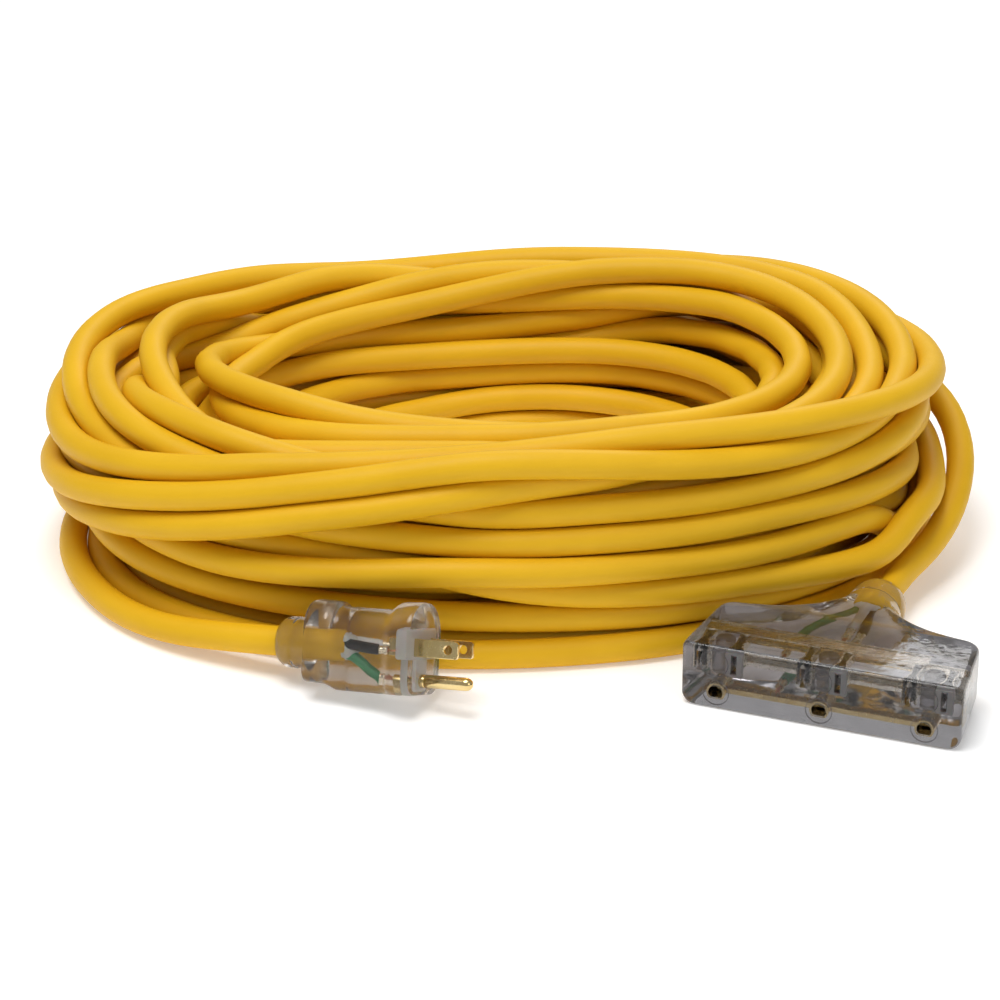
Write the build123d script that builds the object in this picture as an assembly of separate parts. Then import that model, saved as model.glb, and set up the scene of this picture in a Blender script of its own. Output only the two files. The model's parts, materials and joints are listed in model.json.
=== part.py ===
from build123d import *
import math
import os

# Heavy duty extension cord: a moulded plug, a hand wound coil and a moulded three outlet connector.
# Origin: centre of the coil on the floor. +X runs along the coil's longer axis towards the connector's
# side, +Y away from the plug and the connector, +Z up. Millimetres.

# ---- cord
CORD_D = 10.9
CORD_R = CORD_D / 2
CONDUCTOR_R = 1.95
FLOOR_GAP = 0.15
RUN_SHARE = 0.45

# ---- coil: outer shape of the wound turns
COIL_CENTRE_X = -2.0
COIL_OUTER_X = 174.0
COIL_OUTER_Y = 122.0
COIL_INNER_X = 115.0
COIL_INNER_Y = 63.0
COIL_HEIGHT = 84.0
COIL_TOP_ROUND = 14.0
COIL_BOTTOM_ROUND = 5.0

# ---- plug, in its own frame: X out of the face, Y across the blades, Z away from the ground pin
PLUG_PLACE = (-26.4, -150.7, 22.3)
PLUG_YAW = -23.3
PLUG_PITCH = -7.0
PLUG_ROLL = -23.5
BLADE_SPACING = 12.7
BLADE_WIDTH = 6.35
BLADE_THICK = 1.52
BLADE_OUT = 15.9
BLADE_HOLE_R = 1.6
BLADE_HOLE_AT = 11.9
BLADE_TIP_ROUND = 1.4
PIN_R = 2.39
PIN_ROOT_R = 2.1
PIN_OUT = 19.1
PIN_BELOW = 11.9
FACE_TOP = 16.0
FACE_BOTTOM = -17.2
FACE_HALF = 13.2
FLANGE_LENGTH = 12.5
WAIST_TOP = 13.0
WAIST_BOTTOM = -17.5
WAIST_HALF = 11.0
REAR_TOP = 14.6
REAR_BOTTOM = -15.0
REAR_HALF = 12.6
REAR_FLANGE_X = -33.0
PLUG_REAR_X = -43.2
PLUG_COLLAR_X = -57.0
COLLAR_R = 9.3
CORD_AXIS_Z = -1.5
CARRIER_X = (-6.6, -2.4)
PLUG_JACKET_X = -29.3

# ---- connector, in its own frame: X along the face, Y into the body, Z up
CONNECTOR_PLACE = (112.0, -169.0, 0.0)
CONNECTOR_YAW = -21.6
OUTLET_PITCH = 38.1
FACE_LENGTH = 102.6
BODY_HEIGHT = 24.6
SIDE_TAPER = 2.8
SHOULDER_Y = 35.0
NECK_HALF = 11.0
NECK_Y = 70.0
COLLAR_END_Y = 84.0
CORD_Z = 12.6
GROUND_Z = 6.4
SLOT_Z = GROUND_Z + PIN_BELOW
SLOT_WIDTH = 2.0
SLOT_HEIGHT = 7.4
GROUND_HOLE_R = 2.6
GROUND_TUBE_R = 3.5
GROUND_TUBE_Y = (1.2, 21.0)
CLIP_Y = (3.0, 15.0)
CLIP_HALF_X = 2.3
CLIP_HALF_Z = 4.4
STRIP_Y = (16.0, 22.0)
STRIP_THICK = 0.9
NEUTRAL_STRIP_Z = 21.4
HOT_STRIP_Z = 14.2
GROUND_WEB_Y = (6.0, 13.0)
DOME_R = 3.7
DOME_Y = 11.6
DOME_Z = (11.4, 23.2)
CRIMP_R = 2.3
CRIMP_LENGTH = 8.5
CONNECTOR_JACKET_Y = 62.0

# ---- free stretches of cord, as points that the route turns at
PLUG_TAIL_POINTS = [
    (-124.5, -105.5, 7.4),
    (-143.5, -86.5, 5.8),
    (-158.0, -62.5, 5.8),
    (-167.0, -36.5, 6.0),
    (-169.5, -9.0, 7.0),
    (-165.0, 17.5, 9.0),
    (-152.5, 40.5, 11.5),
    (-134.0, 58.0, 13.5),
]
CONNECTOR_TAIL_POINTS = [
    (166.5, -50.5, 16.5),
    (178.5, -27.5, 25.5),
    (183.5, -1.5, 36.0),
    (179.5, 25.5, 45.0),
    (165.0, 48.5, 51.0),
    (144.0, 65.0, 54.5),
]

parts = {}


def rounded_section(half, bottom, top, round_low, round_high):
    """Upright outline of the plug across its axis, rounder above than below."""
    outline = Rectangle(2 * half, top - bottom).move(Location((0, (top + bottom) / 2)))
    low = outline.vertices().sort_by(Axis.Y)[:2]
    outline = fillet(low, round_low)
    high = outline.vertices().sort_by(Axis.Y)[-2:]
    return fillet(high, round_high)


def across_plug(x):
    """Plane across the plug's axis: its X is the plug's Y, its Y is the plug's Z."""
    return Plane(origin=(x, 0, 0), x_dir=(0, 1, 0), z_dir=(1, 0, 0))


def loft_between(stations):
    """Solid through rounded outlines given as (x, half, bottom, top, round_low, round_high)."""
    sections = [across_plug(s[0]) * rounded_section(*s[1:]) for s in stations]
    return loft(sections, ruled=True)


def bar(start, end, radius):
    """Round bar between two points."""
    start = Vector(*start)
    run = Vector(*end) - start
    return extrude(Plane(origin=start, z_dir=run) * Circle(radius), run.length)


def block(low, high):
    """Box between two opposite corners."""
    size = [b - a for a, b in zip(low, high)]
    return Pos(*low) * Box(*size, align=(Align.MIN, Align.MIN, Align.MIN))


def turn_radii(points):
    """Largest arc at each inner point that uses no more than RUN_SHARE of its shorter run."""
    vectors = [Vector(*p) for p in points]
    radii = []
    for before, here, after in zip(vectors, vectors[1:], vectors[2:]):
        first = here - before
        second = after - here
        half_turn = math.radians(first.get_angle(second)) / 2
        radii.append(RUN_SHARE * min(first.length, second.length) / math.tan(half_turn))
    return radii


def round_path(points, radius):
    """Round bar along straight runs joined by tangent arcs."""
    path = FilletPolyline(*points, radius=turn_radii(points))
    section = Plane(origin=path @ 0, z_dir=path % 0) * Circle(radius)
    return sweep(section, path=path), path


def cord_tube(label, points):
    """Free stretch of the cord, with its radii and its volume against section times length."""
    tube, path = round_path(points, CORD_R)
    expected = math.pi * CORD_R ** 2 * path.length
    radii = ", ".join(f"{radius:.0f}" for radius in turn_radii(points))
    print(f"{label}: {path.length:.1f} mm, radii {radii}, volume ratio {tube.volume / expected:.4f}")
    return tube


# ---- plug
plug_place = Pos(*PLUG_PLACE) * Rot(0, 0, PLUG_YAW) * Rot(0, PLUG_PITCH, 0) * Rot(PLUG_ROLL, 0, 0)


def plug_blade(side):
    """Flat blade with a round hole near its corner rounded tip, and a tail behind the carrier."""
    outline = Rectangle(BLADE_OUT - CARRIER_X[0] + 3, BLADE_WIDTH, align=(Align.MAX, Align.CENTER))
    outline = fillet(outline.vertices().sort_by(Axis.X)[-2:], BLADE_TIP_ROUND)
    outline -= Pos(BLADE_HOLE_AT - BLADE_OUT, 0) * Circle(BLADE_HOLE_R)
    plane = Plane(origin=(BLADE_OUT, side * BLADE_SPACING / 2, 0), x_dir=(1, 0, 0), z_dir=(0, -1, 0))
    return extrude(plane * outline, BLADE_THICK / 2, both=True)


def ground_pin():
    """Round pin with a domed tip, on a thinner root inside the moulding."""
    stem = bar((0, 0, -PIN_BELOW), (PIN_OUT, 0, -PIN_BELOW), PIN_R)
    stem = fillet(stem.edges().sort_by(Axis.X)[-1], PIN_R * 0.85)
    return stem + bar((CARRIER_X[0] - 3, 0, -PIN_BELOW), (0, 0, -PIN_BELOW), PIN_ROOT_R)


def make_plug():
    """All of the plug's pieces in its own frame, clear of each other."""
    pieces = {
        "plug_hot_blade": plug_blade(-1),
        "plug_neutral_blade": plug_blade(1),
        "plug_ground_pin": ground_pin(),
    }
    metal = pieces["plug_hot_blade"] + pieces["plug_neutral_blade"] + pieces["plug_ground_pin"]
    carrier = loft_between([(x, 10.4, -15.0, 6.8, 4.0, 3.0) for x in CARRIER_X])
    pieces["plug_blade_carrier"] = carrier - metal

    tail_x = CARRIER_X[0] - 3
    blade_y = BLADE_SPACING / 2
    pieces["plug_hot_crimp"] = bar((tail_x - 5.5, -blade_y, -0.6), (tail_x, -blade_y, -0.6), CRIMP_R)
    pieces["plug_neutral_crimp"] = bar((tail_x - 5.5, blade_y, -0.6), (tail_x, blade_y, -0.6), CRIMP_R)
    pieces["plug_ground_crimp"] = bar((tail_x - 5.5, 0, -PIN_BELOW), (tail_x, 0, -PIN_BELOW), CRIMP_R)

    start_x = PLUG_JACKET_X
    end_x = tail_x - 5.5
    wires = {"hot": (-2.4, 0.2, -blade_y, -0.6), "neutral": (2.4, 0.2, blade_y, -0.6)}
    wires["ground"] = (0.0, -4.1, 0.0, -PIN_BELOW)
    for name, (y0, z0, y1, z1) in wires.items():
        route = [(start_x, y0, z0), (start_x + 4.5, y0, z0), (end_x - 3.5, y1, z1), (end_x, y1, z1)]
        wire, _ = round_path(route, CONDUCTOR_R)
        pieces[f"plug_{name}_wire"] = wire

    pieces["plug_jacket_end"] = bar(
        (PLUG_COLLAR_X, 0, CORD_AXIS_Z), (PLUG_JACKET_X, 0, CORD_AXIS_Z), CORD_R)

    body = loft_between([
        (PLUG_REAR_X, REAR_HALF - 0.8, REAR_BOTTOM + 0.6, REAR_TOP - 0.8, 6.0, 9.5),
        (PLUG_REAR_X + 2, REAR_HALF, REAR_BOTTOM, REAR_TOP, 6.0, 10.5),
        (REAR_FLANGE_X - 3, REAR_HALF, REAR_BOTTOM, REAR_TOP - 0.6, 6.0, 10.5),
        (REAR_FLANGE_X + 3, WAIST_HALF, WAIST_BOTTOM, WAIST_TOP, 6.5, 9.5),
        (-FLANGE_LENGTH - 3, WAIST_HALF, WAIST_BOTTOM, WAIST_TOP, 6.5, 9.5),
        (-FLANGE_LENGTH + 2, FACE_HALF, FACE_BOTTOM, FACE_TOP, 7.0, 11.5),
        (-1.2, FACE_HALF, FACE_BOTTOM, FACE_TOP, 7.0, 11.5),
        (0.0, FACE_HALF - 0.9, FACE_BOTTOM + 0.9, FACE_TOP - 0.9, 6.5, 11.0),
    ])
    collar = bar((PLUG_COLLAR_X, 0, CORD_AXIS_Z), (PLUG_REAR_X, 0, CORD_AXIS_Z), COLLAR_R)
    collar = fillet(collar.edges().sort_by(Axis.X)[0], 3.2)
    inner = list(pieces.values())
    for piece in inner:
        body -= piece
    pieces["plug_body"] = body
    pieces["plug_collar"] = collar - pieces["plug_jacket_end"]
    return pieces


# ---- connector
connector_place = Pos(*CONNECTOR_PLACE) * Rot(0, 0, CONNECTOR_YAW)


def connector_outline():
    """Plan of the moulding: a wide face whose shoulders sweep in to the neck."""
    half = FACE_LENGTH / 2
    rear = half - SIDE_TAPER
    right = Polyline((0, 0), (half, 0), (rear, SHOULDER_Y), (rear - 8, SHOULDER_Y + 2.2))
    sweep_in = Spline(
        (rear - 8, SHOULDER_Y + 2.2), (25.0, 45.2), (15.5, 58.5), (NECK_HALF, NECK_Y),
        tangents=[(-1, 0.12), (-0.12, 1)])
    end = Line((NECK_HALF, NECK_Y), (0, NECK_Y))
    edge = right + sweep_in + end
    return make_face(edge + mirror(edge, about=Plane.YZ))


def connector_shell():
    """Outer shape of the moulding with rounded ends and softened rims."""
    shell = extrude(connector_outline(), BODY_HEIGHT)
    upright = shell.edges().filter_by(Axis.Z)
    front = upright.sort_by(Axis.Y)[:2]
    shell = fillet(front, 4.0)
    rear = shell.edges().filter_by(Axis.Z).filter_by(lambda e: abs(e.center().Y - SHOULDER_Y) < 0.5)
    return fillet(rear, 5.0)


def outlet_positions():
    return [-OUTLET_PITCH, 0.0, OUTLET_PITCH]


def slot_void(x, length):
    """Blade entry, from the face inwards."""
    half_x = SLOT_WIDTH / 2
    half_z = SLOT_HEIGHT / 2
    return block((x - half_x, -1, SLOT_Z - half_z), (x + half_x, length, SLOT_Z + half_z))


def blade_bus(side, strip_z):
    """Flat strip with a blade clip folded forwards at each outlet."""
    ends = [x + side * BLADE_SPACING / 2 for x in outlet_positions()]
    low = (ends[0] - CLIP_HALF_X, STRIP_Y[0], strip_z)
    high = (ends[-1] + CLIP_HALF_X, STRIP_Y[1], strip_z + STRIP_THICK)
    bus = block(low, high)
    for x in ends:
        clip_low = (x - CLIP_HALF_X, CLIP_Y[0], SLOT_Z - CLIP_HALF_Z)
        clip = block(clip_low, (x + CLIP_HALF_X, CLIP_Y[1], SLOT_Z + CLIP_HALF_Z))
        tab_low = (x - CLIP_HALF_X, CLIP_Y[1], strip_z)
        tab = block(tab_low, (x + CLIP_HALF_X, STRIP_Y[0], strip_z + STRIP_THICK))
        bus += clip - slot_void(x, CLIP_Y[1] - 1) + tab
    return bus


def ground_bus():
    """Rolled tube for each ground pin, joined by flat webs."""
    low = (-OUTLET_PITCH, GROUND_WEB_Y[0], GROUND_Z - STRIP_THICK)
    bus = block(low, (OUTLET_PITCH, GROUND_WEB_Y[1], GROUND_Z))
    bores = []
    for x in outlet_positions():
        bus += bar((x, GROUND_TUBE_Y[0], GROUND_Z), (x, GROUND_TUBE_Y[1], GROUND_Z), GROUND_TUBE_R)
        bores.append(bar((x, 0, GROUND_Z), (x, GROUND_TUBE_Y[1] + 1, GROUND_Z), GROUND_HOLE_R))
    for bore in bores:
        bus -= bore
    return bus


def make_connector():
    """All of the connector's pieces in its own frame, clear of each other."""
    pieces = {
        "hot_bus": blade_bus(1, HOT_STRIP_Z),
        "neutral_bus": blade_bus(-1, NEUTRAL_STRIP_Z),
        "ground_bus": ground_bus(),
    }
    jacket_end = (0, CONNECTOR_JACKET_Y, CORD_Z)
    pieces["connector_jacket_end"] = bar(jacket_end, (0, COLLAR_END_Y, CORD_Z), CORD_R)

    crimps = {
        "hot": (9.5, STRIP_Y[1], HOT_STRIP_Z + 0.4),
        "neutral": (2.5, STRIP_Y[1], NEUTRAL_STRIP_Z - 0.6),
        "ground": (-17.5, GROUND_WEB_Y[1], GROUND_Z + 0.8),
    }
    starts = {"hot": (1.8, -1.5), "neutral": (0.4, 2.3), "ground": (-2.2, -0.8)}
    for name, front in crimps.items():
        back = (front[0], front[1] + CRIMP_LENGTH, front[2])
        pieces[f"connector_{name}_crimp"] = bar(front, back, CRIMP_R)
        x0 = starts[name][0]
        z0 = CORD_Z + starts[name][1]
        lead = (back[0], back[1] + 6, back[2])
        route = [(x0, CONNECTOR_JACKET_Y, z0), (x0, CONNECTOR_JACKET_Y - 7, z0), lead, back]
        wire, _ = round_path(route, CONDUCTOR_R)
        pieces[f"connector_{name}_wire"] = wire

    names = ("left", "middle", "right")
    for name, x in zip(names, outlet_positions()):
        hot_x = x + BLADE_SPACING / 2
        shroud = block((hot_x - 3.4, 0.8, SLOT_Z - 5.0), (hot_x + 3.4, CLIP_Y[0], SLOT_Z + 4.6))
        pieces[f"hot_shroud_{name}"] = shroud - slot_void(hot_x, CLIP_Y[0] + 1)
        dome = bar((x, DOME_Y, DOME_Z[0]), (x, DOME_Y, DOME_Z[1]), DOME_R)
        pieces[f"outlet_dome_{name}"] = fillet(dome.edges().sort_by(Axis.Z)[-1], DOME_R - 0.1)

    lamp_x = 21.0
    lamp_z = 18.0
    lamp = bar((lamp_x, 23.5, lamp_z), (lamp_x, 32.0, lamp_z), 2.6)
    pieces["indicator_lamp"] = fillet(lamp.edges().sort_by(Axis.Y)[0], 2.0)
    pieces["lamp_resistor"] = bar((lamp_x, 33.5, lamp_z), (lamp_x, 39.5, lamp_z), 1.2)
    pieces["lamp_lead"] = bar((lamp_x, 32.0, lamp_z), (lamp_x, 33.5, lamp_z), 0.5)

    body = connector_shell()
    for x in outlet_positions():
        for side in (-1, 1):
            body -= slot_void(x + side * BLADE_SPACING / 2, CLIP_Y[1])
        body -= bar((x, -1, GROUND_Z), (x, GROUND_TUBE_Y[1], GROUND_Z), GROUND_HOLE_R)
    for piece in pieces.values():
        body -= piece
    pieces["connector_body"] = body

    collar = bar((0, NECK_Y, CORD_Z), (0, COLLAR_END_Y, CORD_Z), NECK_HALF)
    collar = fillet(collar.edges().sort_by(Axis.Y)[-1], 4.0)
    pieces["connector_collar"] = collar - pieces["connector_jacket_end"]
    return pieces


# ---- placed pieces
plug_pieces = make_plug()
connector_pieces = make_connector()
for node, piece in plug_pieces.items():
    parts[node] = plug_place * piece
for node, piece in connector_pieces.items():
    parts[node] = connector_place * piece

# ---- cord: two free stretches and the coil between them
plug_exit = plug_place * Location((PLUG_COLLAR_X, 0, CORD_AXIS_Z))
plug_next = plug_place * Location((PLUG_COLLAR_X - 24, 0, CORD_AXIS_Z))
connector_exit = connector_place * Location((0, COLLAR_END_Y, CORD_Z))
connector_next = connector_place * Location((0, COLLAR_END_Y + 22, CORD_Z))
plug_route = [tuple(plug_exit.position), tuple(plug_next.position)] + PLUG_TAIL_POINTS
connector_route = [tuple(connector_exit.position), tuple(connector_next.position)]
connector_route += CONNECTOR_TAIL_POINTS
print("plug route starts", plug_route[:2])
print("connector route starts", connector_route[:2])
parts["cord_tail_plug"] = cord_tube("plug tail", plug_route)
parts["cord_tail_connector"] = cord_tube("connector tail", connector_route)

coil_place = Pos(COIL_CENTRE_X, 0)
coil = extrude(coil_place * Ellipse(COIL_OUTER_X, COIL_OUTER_Y), COIL_HEIGHT)
coil = fillet(coil.edges().sort_by(Axis.Z)[-1], COIL_TOP_ROUND)
coil = fillet(coil.edges().sort_by(Axis.Z)[0], COIL_BOTTOM_ROUND)
coil -= extrude(coil_place * Ellipse(COIL_INNER_X, COIL_INNER_Y), COIL_HEIGHT)
parts["cord_coil"] = coil - parts["cord_tail_plug"] - parts["cord_tail_connector"]

os.makedirs("parts", exist_ok=True)
for node, piece in parts.items():
    export_step(piece, f"parts/{node}.step")
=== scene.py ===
import json
import math

import bmesh
import bpy
import numpy as np
from mathutils import Matrix, Vector


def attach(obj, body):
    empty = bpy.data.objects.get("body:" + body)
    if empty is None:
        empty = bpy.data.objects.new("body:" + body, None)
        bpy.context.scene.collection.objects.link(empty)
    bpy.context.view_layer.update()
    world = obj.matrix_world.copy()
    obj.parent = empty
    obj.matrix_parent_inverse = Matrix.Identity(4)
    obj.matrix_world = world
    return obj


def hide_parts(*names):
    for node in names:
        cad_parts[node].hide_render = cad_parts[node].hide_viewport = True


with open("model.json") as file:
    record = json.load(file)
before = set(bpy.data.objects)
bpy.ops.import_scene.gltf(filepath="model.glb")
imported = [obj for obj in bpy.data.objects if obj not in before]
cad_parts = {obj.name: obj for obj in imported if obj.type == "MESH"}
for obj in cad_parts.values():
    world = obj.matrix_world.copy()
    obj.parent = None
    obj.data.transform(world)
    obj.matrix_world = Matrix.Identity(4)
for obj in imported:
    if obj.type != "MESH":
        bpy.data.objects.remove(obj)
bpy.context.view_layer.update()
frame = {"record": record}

MM = 0.001
SEED = 11

# ---------- camera
AIM = (0.0, -0.039, 0.030)
CAMERA_DISTANCE = 1.22
CAMERA_ELEVATION = math.radians(24.0)


def add_camera():
    data = bpy.data.cameras.new("camera")
    data.lens = 113.6
    data.sensor_width = 36.0
    data.clip_end = 20.0
    camera = bpy.data.objects.new("camera", data)
    camera.location = (
        AIM[0],
        AIM[1] - CAMERA_DISTANCE * math.cos(CAMERA_ELEVATION),
        AIM[2] + CAMERA_DISTANCE * math.sin(CAMERA_ELEVATION),
    )
    camera.rotation_euler = (math.pi / 2 - CAMERA_ELEVATION, 0.0, 0.0)
    bpy.context.collection.objects.link(camera)
    bpy.context.scene.camera = camera


add_camera()

# ---------- cord: route and coil
CORD_D = 0.0109
CORD_R = CORD_D / 2
FLOOR_Z = CORD_R + 0.0001

# the free stretches, as the CAD model has them, from each moulding towards the coil
PLUG_ROUTE = [
    (-0.0784438, -0.1289376, 0.0139881), (-0.1003222, -0.1195153, 0.0110632),
    (-0.1245, -0.1055, 0.0074), (-0.1435, -0.0865, 0.0058), (-0.1580, -0.0625, 0.0058),
    (-0.1670, -0.0365, 0.0060), (-0.1695, -0.0090, 0.0070), (-0.1650, 0.0175, 0.0090),
    (-0.1525, 0.0405, 0.0115), (-0.1340, 0.0580, 0.0135),
]
CONNECTOR_ROUTE = [
    (0.1429225, -0.0908988, 0.0126), (0.1510212, -0.0704437, 0.0126),
    (0.1665, -0.0505, 0.0165), (0.1785, -0.0275, 0.0255), (0.1835, -0.0015, 0.0360),
    (0.1795, 0.0255, 0.0450), (0.1650, 0.0485, 0.0510), (0.1440, 0.0650, 0.0545),
]

# the coil's middle line: an oval that is a little squarer than an ellipse
CENTRE_X = -0.004
LONG = 0.1450
SHORT = 0.0980
SQUARE = 0.0022
# control points in each turn, and the step between turns that lie side by side
PER_TURN = 48
PITCH = 0.0113
# how many turns lie side by side in each layer, from the floor up, and the rise of a layer
LEVELS = (6, 6, 6, 5, 5, 3)
LAYER_RISE = 0.0098
# how unevenly the turns are laid, across the winding and in height
LOOSENESS = 0.006
HEIGHT_WANDER = 0.009
# the loose turns on top: millimetres outside the middle line at the front, left, back and right
TOP_TURNS = (
    (18, 32, 6, 24),
    (12, 33, 8, 28),
    (-10, -16, 14, 28),
    (20, 6, 20, 30),
)
# the winding's half width, and over how many points it eases into the free stretches
WALL = 0.0228
EASE = 28
# settling: how far the turns sink in a step, and how much more they sink and spread at the front
SETTLE_STEPS = 700
PUSHES = 5
FALL = 0.0006
FRONT_FALL = 2.2
FRONT_SPREAD = 0.28
TILT = 0.20
TURN_GAP = 1.015 * CORD_D
TAIL_GAP = 1.02 * CORD_D
SMOOTHING = np.array([1, 4, 6, 4, 1]) / 16.0
# last pass: parts strands nearer than the gap and opens bends towards the least radius
PART_STEPS = 280
PAIRS_EVERY = 15
PAIR_REACH = 0.020
STRAND_GAP = 1.005 * CORD_D
LEAST_BEND = 0.064


def middle(angle):
    """Point of the coil's middle line, and its direction."""
    x = CENTRE_X + LONG * np.cos(angle) - SQUARE * np.cos(3 * angle)
    y = SHORT * np.sin(angle) + SQUARE * np.sin(3 * angle)
    dx = -LONG * np.sin(angle) + 3 * SQUARE * np.sin(3 * angle)
    dy = SHORT * np.cos(angle) + 3 * SQUARE * np.cos(3 * angle)
    return x, y, dx, dy


def place_on_coil(angle, out, height):
    """Points at a distance outside the middle line and a height."""
    x, y, dx, dy = middle(angle)
    n = np.hypot(dx, dy)
    return np.stack([x + out * dy / n, y - out * dx / n, height], axis=-1)


def locate(points):
    """Angle, distance outside the middle line and height of some points."""
    p = np.atleast_2d(np.array(points, float))
    angle = np.arctan2(p[:, 1] / SHORT, (p[:, 0] - CENTRE_X) / LONG)
    for _ in range(40):
        x, y, dx, dy = middle(angle)
        along = (p[:, 0] - x) * dx + (p[:, 1] - y) * dy
        angle = angle + 0.6 * along / (dx * dx + dy * dy)
    x, y, dx, dy = middle(angle)
    out = ((p[:, 0] - x) * dy - (p[:, 1] - y) * dx) / np.hypot(dx, dy)
    return angle, out, p[:, 2]


def curve_through(values, at):
    """Smooth line through evenly spaced values (Catmull-Rom)."""
    v = np.array(values, float)
    k = np.clip(at, 0, len(v) - 1 - 1e-9)
    i = k.astype(int)
    f = k - i
    a, b, c, d = (v[np.clip(i + j, 0, len(v) - 1)] for j in (-1, 0, 1, 2))
    return b + 0.5 * f * (c - a + f * (2 * a - 5 * b + 4 * c - d + f * (3 * (b - c) + d - a)))


def wound_turns():
    """Where each turn is laid before it settles: angle, distance outside the middle line and height."""
    rng = np.random.default_rng(SEED)
    start = locate([PLUG_ROUTE[-1]])
    end = locate([CONNECTOR_ROUTE[-1]])
    seats = []
    heights = []
    for level, count in enumerate(LEVELS):
        row = [(i - (count - 1) / 2) * PITCH for i in range(count)]
        if level % 2:
            row.reverse()
        seats += row
        heights += [FLOOR_Z + level * LAYER_RISE] * count
    quarters = []
    for k, seat in enumerate(seats):
        following = seats[min(k + 1, len(seats) - 1)]
        share = k / len(seats)
        for q in range(4):
            wander = LOOSENESS * (0.4 + 0.9 * share) * (1.5 if q == 1 else 1.0)
            base = seat + (following - seat) * q / 4
            quarters.append(base + rng.normal(0, wander) + 0.002 * (share - 0.5))
    for row in TOP_TURNS:
        quarters += [v * MM for v in row]
        heights.append(heights[-1] + 0.9 * CORD_D)
    span = (start[0][0] - end[0][0]) % (2 * math.pi)
    turns = len(heights) - 1 + span / (2 * math.pi)
    n = int(round(turns * PER_TURN)) + 1
    step = 2 * math.pi / PER_TURN
    angle = start[0][0] - np.arange(n) * step
    lead = (start[0][0] + math.pi / 2) % (2 * math.pi)
    quarter = (np.arange(n) * step - lead) / (math.pi / 2)
    height = np.interp(quarter / 4, np.arange(len(heights)) + 0.5, heights)
    height = height + curve_through(rng.normal(0, HEIGHT_WANDER, 4 * len(heights)), quarter)
    ends = ((start[1][0], start[2][0]), (end[1][0], end[2][0]))
    return angle, curve_through(quarters, quarter), height, ends


def spline_points(points, per_span):
    """Points along the open quadratic B-spline with these control points."""
    p = np.array(points, float)
    n = len(p)
    knots = np.concatenate([[0, 0, 0], np.arange(1, n - 2), [n - 2] * 3]).astype(float)
    line = []
    for u in np.linspace(0, n - 2 - 1e-9, per_span * n):
        k = int(u) + 2
        d = [p[j + k - 2].copy() for j in range(3)]
        for r in (1, 2):
            for j in range(2, r - 1, -1):
                low = knots[j + k - 2]
                high = knots[j + 1 + k - r]
                w = (u - low) / (high - low)
                d[j] = (1 - w) * d[j - 1] + w * d[j]
        line.append(d[2])
    return np.array(line)


def tail_circles(start_angle):
    """Where the free stretches cross each section of the coil."""
    found = [[] for _ in range(PER_TURN)]
    step = 2 * math.pi / PER_TURN
    for is_plug, route in ((True, PLUG_ROUTE), (False, CONNECTOR_ROUTE)):
        angle, out, height = locate(spline_points(route, 40))
        at = (start_angle - angle) / step
        for s in range(PER_TURN):
            gap = (at - s + PER_TURN / 2) % PER_TURN - PER_TURN / 2
            k = int(np.argmin(np.abs(gap)))
            if abs(gap[k]) < 0.3:
                found[s].append((out[k], height[k], is_plug))
    return found


def walls(front, back, left, right, loose):
    """How far outside and inside the middle line the turns may lie, by side of the coil."""
    outer = (
        WALL + 0.008 * loose * (1 - front) + 0.001 * front + 0.011 * right
        - 0.022 * front * right + 0.004 * back * right - 0.006 * back * left
    )
    inner = (
        WALL + 0.004 + 0.004 * loose + 0.010 * front ** 1.5
        - 0.002 * left + 0.004 * back * left - 0.007 * right
    )
    return outer, inner


def smoothed(values):
    """Values averaged with their neighbours, the line carried straight on at both ends."""
    before = [2 * values[0] - values[2], 2 * values[0] - values[1]]
    after = [2 * values[-1] - values[-2], 2 * values[-1] - values[-3]]
    return np.convolve(np.concatenate([before, values, after]), SMOOTHING, "valid")


def by_section(values, turns):
    """One row for each section across the coil, with a column for each turn."""
    grid = np.full(turns * PER_TURN, np.nan)
    grid[:len(values)] = values
    return grid.reshape(turns, PER_TURN).T


def turn_pushes(out, z, turns):
    """Moves outwards and up that part the turns which share space in a section."""
    rows = (by_section(out, turns), by_section(z, turns))
    d_out, d_z = (row[:, :, None] - row[:, None, :] for row in rows)
    gap = np.sqrt(d_out * d_out + d_z * d_z)
    near = (gap < TURN_GAP) & (gap > 1e-7)
    over = np.where(near, (TURN_GAP - gap) / np.maximum(gap, 1e-6), 0.0)
    return [(0.42 * np.nansum(over * d, axis=2)).T.reshape(-1)[:len(out)] for d in (d_out, d_z)]


def clear_tails(out, z, circles):
    """Pushes the turns off the free stretches, except near the end that each stretch joins."""
    n = len(out)
    for s, row in enumerate(circles):
        own = np.arange(s, n, PER_TURN)
        for c_out, c_z, is_plug in row:
            free = own[own > EASE + 6] if is_plug else own[own < n - EASE - 7]
            d_out = out[free] - c_out
            d_z = z[free] - c_z
            far = np.hypot(d_out, d_z) + 1e-9
            push = np.maximum(TAIL_GAP - far, 0) / far
            out[free] += push * d_out
            z[free] += push * d_z


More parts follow.
